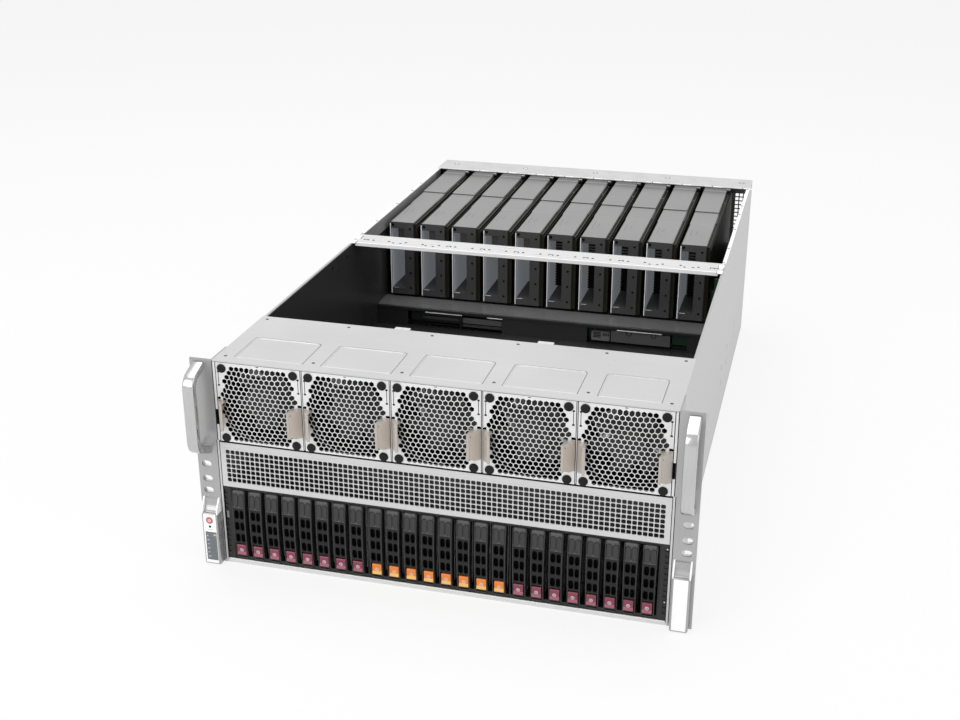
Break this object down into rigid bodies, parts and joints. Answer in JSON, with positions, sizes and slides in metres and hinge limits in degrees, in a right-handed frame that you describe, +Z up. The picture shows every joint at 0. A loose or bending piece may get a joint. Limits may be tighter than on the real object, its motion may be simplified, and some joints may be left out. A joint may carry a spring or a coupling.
{
  "type": "gpu rack server",
  "caption": "Rack server chassis with pull-out fans, hot-swap drives, rear power supplies and a row of upright accelerator cards, rear lid off.",
  "frame": {"origin": "on the floor, under the middle of the outline's length and width", "axes": "+X to the right seen from the front, +Y towards the rear, +Z up"},
  "size_m": [0.4826, 0.826, 0.217],
  "materials": {
    "zinc_sheet": "satin",
    "cover_sheet": "satin",
    "bright_sheet": "satin",
    "fan_sheet": "satin",
    "black_sheet": "matte",
    "card_metal": "satin",
    "handle_aluminium": "satin",
    "fin_aluminium": "satin",
    "grey_plastic": "matte",
    "black_plastic": "matte",
    "carrier_metal": "matte",
    "red_button": "gloss",
    "green_board": "satin"
  },
  "bodies": {
    "chassis": {"base_pan": "zinc_sheet", "side_walls": "zinc_sheet", "rear_panel": "zinc_sheet", "front_top_cover": "cover_sheet", "cross_brace": "bright_sheet", "intake_panel": "fan_sheet", "fan_bay_frame": "bright_sheet", "drive_cage": "black_sheet", "rack_ears": "cover_sheet", "rack_handles": "handle_aluminium", "control_housing": "grey_plastic", "end_block": "grey_plastic", "card_shrouds": "card_metal", "card_fins": "fin_aluminium", "card_boards": "card_metal", "card_brackets": "bright_sheet", "card_baseboard": "green_board", "air_guide": "black_sheet", "mainboard": "green_board", "processor_coolers": "fin_aluminium", "memory_modules": "green_board"},
    "power_button": {"power_button": "red_button"},
    "drive_01": {"drive_01": "carrier_metal"},
    "drive_02": {"drive_02": "carrier_metal"},
    "drive_03": {"drive_03": "carrier_metal"},
    "drive_04": {"drive_04": "carrier_metal"},
    "drive_05": {"drive_05": "carrier_metal"},
    "drive_06": {"drive_06": "carrier_metal"},
    "drive_07": {"drive_07": "carrier_metal"},
    "drive_08": {"drive_08": "carrier_metal"},
    "drive_09": {"drive_09": "carrier_metal"},
    "drive_10": {"drive_10": "carrier_metal"},
    "drive_11": {"drive_11": "carrier_metal"},
    "drive_12": {"drive_12": "carrier_metal"},
    "drive_13": {"drive_13": "carrier_metal"},
    "drive_14": {"drive_14": "carrier_metal"},
    "drive_15": {"drive_15": "carrier_metal"},
    "drive_16": {"drive_16": "carrier_metal"},
    "drive_17": {"drive_17": "carrier_metal"},
    "drive_18": {"drive_18": "carrier_metal"},
    "drive_19": {"drive_19": "carrier_metal"},
    "drive_20": {"drive_20": "carrier_metal"},
    "drive_21": {"drive_21": "carrier_metal"},
    "drive_22": {"drive_22": "carrier_metal"},
    "drive_23": {"drive_23": "carrier_metal"},
    "drive_24": {"drive_24": "carrier_metal"},
    "fan_module_1": {"fan_module_1": "fan_sheet"},
    "fan_module_2": {"fan_module_2": "fan_sheet"},
    "fan_module_3": {"fan_module_3": "fan_sheet"},
    "fan_module_4": {"fan_module_4": "fan_sheet"},
    "fan_module_5": {"fan_module_5": "fan_sheet"},
    "fan_rotor_1": {"fan_rotor_1": "black_plastic"},
    "fan_rotor_2": {"fan_rotor_2": "black_plastic"},
    "fan_rotor_3": {"fan_rotor_3": "black_plastic"},
    "fan_rotor_4": {"fan_rotor_4": "black_plastic"},
    "fan_rotor_5": {"fan_rotor_5": "black_plastic"},
    "power_supply_1": {"power_supply_1": "bright_sheet"},
    "power_supply_2": {"power_supply_2": "bright_sheet"},
    "power_supply_3": {"power_supply_3": "bright_sheet"},
    "power_supply_4": {"power_supply_4": "bright_sheet"}
  },
  "joints": [
    {"name": "fan_module_3_slide", "type": "slide", "parent": "chassis", "child": "fan_module_3", "axis": [0, -1, 0], "range_m": [0, 0.105]},
    {"name": "fan_rotor_3_spin", "type": "hinge", "parent": "fan_module_3", "child": "fan_rotor_3", "pos_m": [0, -0.357, 0.1738], "axis": [0, 1, 0], "continuous": true},
    {"name": "drive_01_slide", "type": "slide", "parent": "chassis", "child": "drive_01", "axis": [0, -1, 0], "range_m": [0, 0.11]},
    {"name": "power_supply_1_slide", "type": "slide", "parent": "chassis", "child": "power_supply_1", "axis": [0, 1, 0], "range_m": [0, 0.25]},
    {"name": "power_button_press", "type": "slide", "parent": "chassis", "child": "power_button", "axis": [0, 1, 0], "range_m": [0, 0.0015], "stiffness_N_per_m": 300, "springref_m": -0.0005},
    {"name": "drive_12_slide", "type": "slide", "parent": "chassis", "child": "drive_12", "axis": [0, -1, 0], "range_m": [0, 0.11]},
    {"name": "drive_24_slide", "type": "slide", "parent": "chassis", "child": "drive_24", "axis": [0, -1, 0], "range_m": [0, 0.11]},
    {"name": "fan_module_1_slide", "type": "slide", "parent": "chassis", "child": "fan_module_1", "axis": [0, -1, 0], "range_m": [0, 0.105]},
    {"name": "fan_module_2_slide", "type": "slide", "parent": "chassis", "child": "fan_module_2", "axis": [0, -1, 0], "range_m": [0, 0.105]},
    {"name": "fan_module_4_slide", "type": "slide", "parent": "chassis", "child": "fan_module_4", "axis": [0, -1, 0], "range_m": [0, 0.105]},
    {"name": "fan_module_5_slide", "type": "slide", "parent": "chassis", "child": "fan_module_5", "axis": [0, -1, 0], "range_m": [0, 0.105]},
    {"name": "fan_rotor_1_spin", "type": "hinge", "parent": "fan_module_1", "child": "fan_rotor_1", "pos_m": [-0.1728, -0.357, 0.1738], "axis": [0, 1, 0], "continuous": true},
    {"name": "fan_rotor_2_spin", "type": "hinge", "parent": "fan_module_2", "child": "fan_rotor_2", "pos_m": [-0.0864, -0.357, 0.1738], "axis": [0, 1, 0], "continuous": true},
    {"name": "fan_rotor_4_spin", "type": "hinge", "parent": "fan_module_4", "child": "fan_rotor_4", "pos_m": [0.0864, -0.357, 0.1738], "axis": [0, 1, 0], "continuous": true},
    {"name": "fan_rotor_5_spin", "type": "hinge", "parent": "fan_module_5", "child": "fan_rotor_5", "pos_m": [0.1728, -0.357, 0.1738], "axis": [0, 1, 0], "continuous": true},
    {"name": "power_supply_2_slide", "type": "slide", "parent": "chassis", "child": "power_supply_2", "axis": [0, 1, 0], "range_m": [0, 0.25]},
    {"name": "power_supply_3_slide", "type": "slide", "parent": "chassis", "child": "power_supply_3", "axis": [0, 1, 0], "range_m": [0, 0.25]},
    {"name": "power_supply_4_slide", "type": "slide", "parent": "chassis", "child": "power_supply_4", "axis": [0, 1, 0], "range_m": [0, 0.25]},
    {"name": "drive_02_slide", "type": "slide", "parent": "chassis", "child": "drive_02", "axis": [0, -1, 0], "range_m": [0, 0.11]},
    {"name": "drive_03_slide", "type": "slide", "parent": "chassis", "child": "drive_03", "axis": [0, -1, 0], "range_m": [0, 0.11]},
    {"name": "drive_04_slide", "type": "slide", "parent": "chassis", "child": "drive_04", "axis": [0, -1, 0], "range_m": [0, 0.11]},
    {"name": "drive_05_slide", "type": "slide", "parent": "chassis", "child": "drive_05", "axis": [0, -1, 0], "range_m": [0, 0.11]},
    {"name": "drive_06_slide", "type": "slide", "parent": "chassis", "child": "drive_06", "axis": [0, -1, 0], "range_m": [0, 0.11]},
    {"name": "drive_07_slide", "type": "slide", "parent": "chassis", "child": "drive_07", "axis": [0, -1, 0], "range_m": [0, 0.11]},
    {"name": "drive_08_slide", "type": "slide", "parent": "chassis", "child": "drive_08", "axis": [0, -1, 0], "range_m": [0, 0.11]},
    {"name": "drive_09_slide", "type": "slide", "parent": "chassis", "child": "drive_09", "axis": [0, -1, 0], "range_m": [0, 0.11]},
    {"name": "drive_10_slide", "type": "slide", "parent": "chassis", "child": "drive_10", "axis": [0, -1, 0], "range_m": [0, 0.11]},
    {"name": "drive_11_slide", "type": "slide", "parent": "chassis", "child": "drive_11", "axis": [0, -1, 0], "range_m": [0, 0.11]},
    {"name": "drive_13_slide", "type": "slide", "parent": "chassis", "child": "drive_13", "axis": [0, -1, 0], "range_m": [0, 0.11]},
    {"name": "drive_14_slide", "type": "slide", "parent": "chassis", "child": "drive_14", "axis": [0, -1, 0], "range_m": [0, 0.11]},
    {"name": "drive_15_slide", "type": "slide", "parent": "chassis", "child": "drive_15", "axis": [0, -1, 0], "range_m": [0, 0.11]},
    {"name": "drive_16_slide", "type": "slide", "parent": "chassis", "child": "drive_16", "axis": [0, -1, 0], "range_m": [0, 0.11]},
    {"name": "drive_17_slide", "type": "slide", "parent": "chassis", "child": "drive_17", "axis": [0, -1, 0], "range_m": [0, 0.11]},
    {"name": "drive_18_slide", "type": "slide", "parent": "chassis", "child": "drive_18", "axis": [0, -1, 0], "range_m": [0, 0.11]},
    {"name": "drive_19_slide", "type": "slide", "parent": "chassis", "child": "drive_19", "axis": [0, -1, 0], "range_m": [0, 0.11]},
    {"name": "drive_20_slide", "type": "slide", "parent": "chassis", "child": "drive_20", "axis": [0, -1, 0], "range_m": [0, 0.11]},
    {"name": "drive_21_slide", "type": "slide", "parent": "chassis", "child": "drive_21", "axis": [0, -1, 0], "range_m": [0, 0.11]},
    {"name": "drive_22_slide", "type": "slide", "parent": "chassis", "child": "drive_22", "axis": [0, -1, 0], "range_m": [0, 0.11]},
    {"name": "drive_23_slide", "type": "slide", "parent": "chassis", "child": "drive_23", "axis": [0, -1, 0], "range_m": [0, 0.11]}
  ]
}
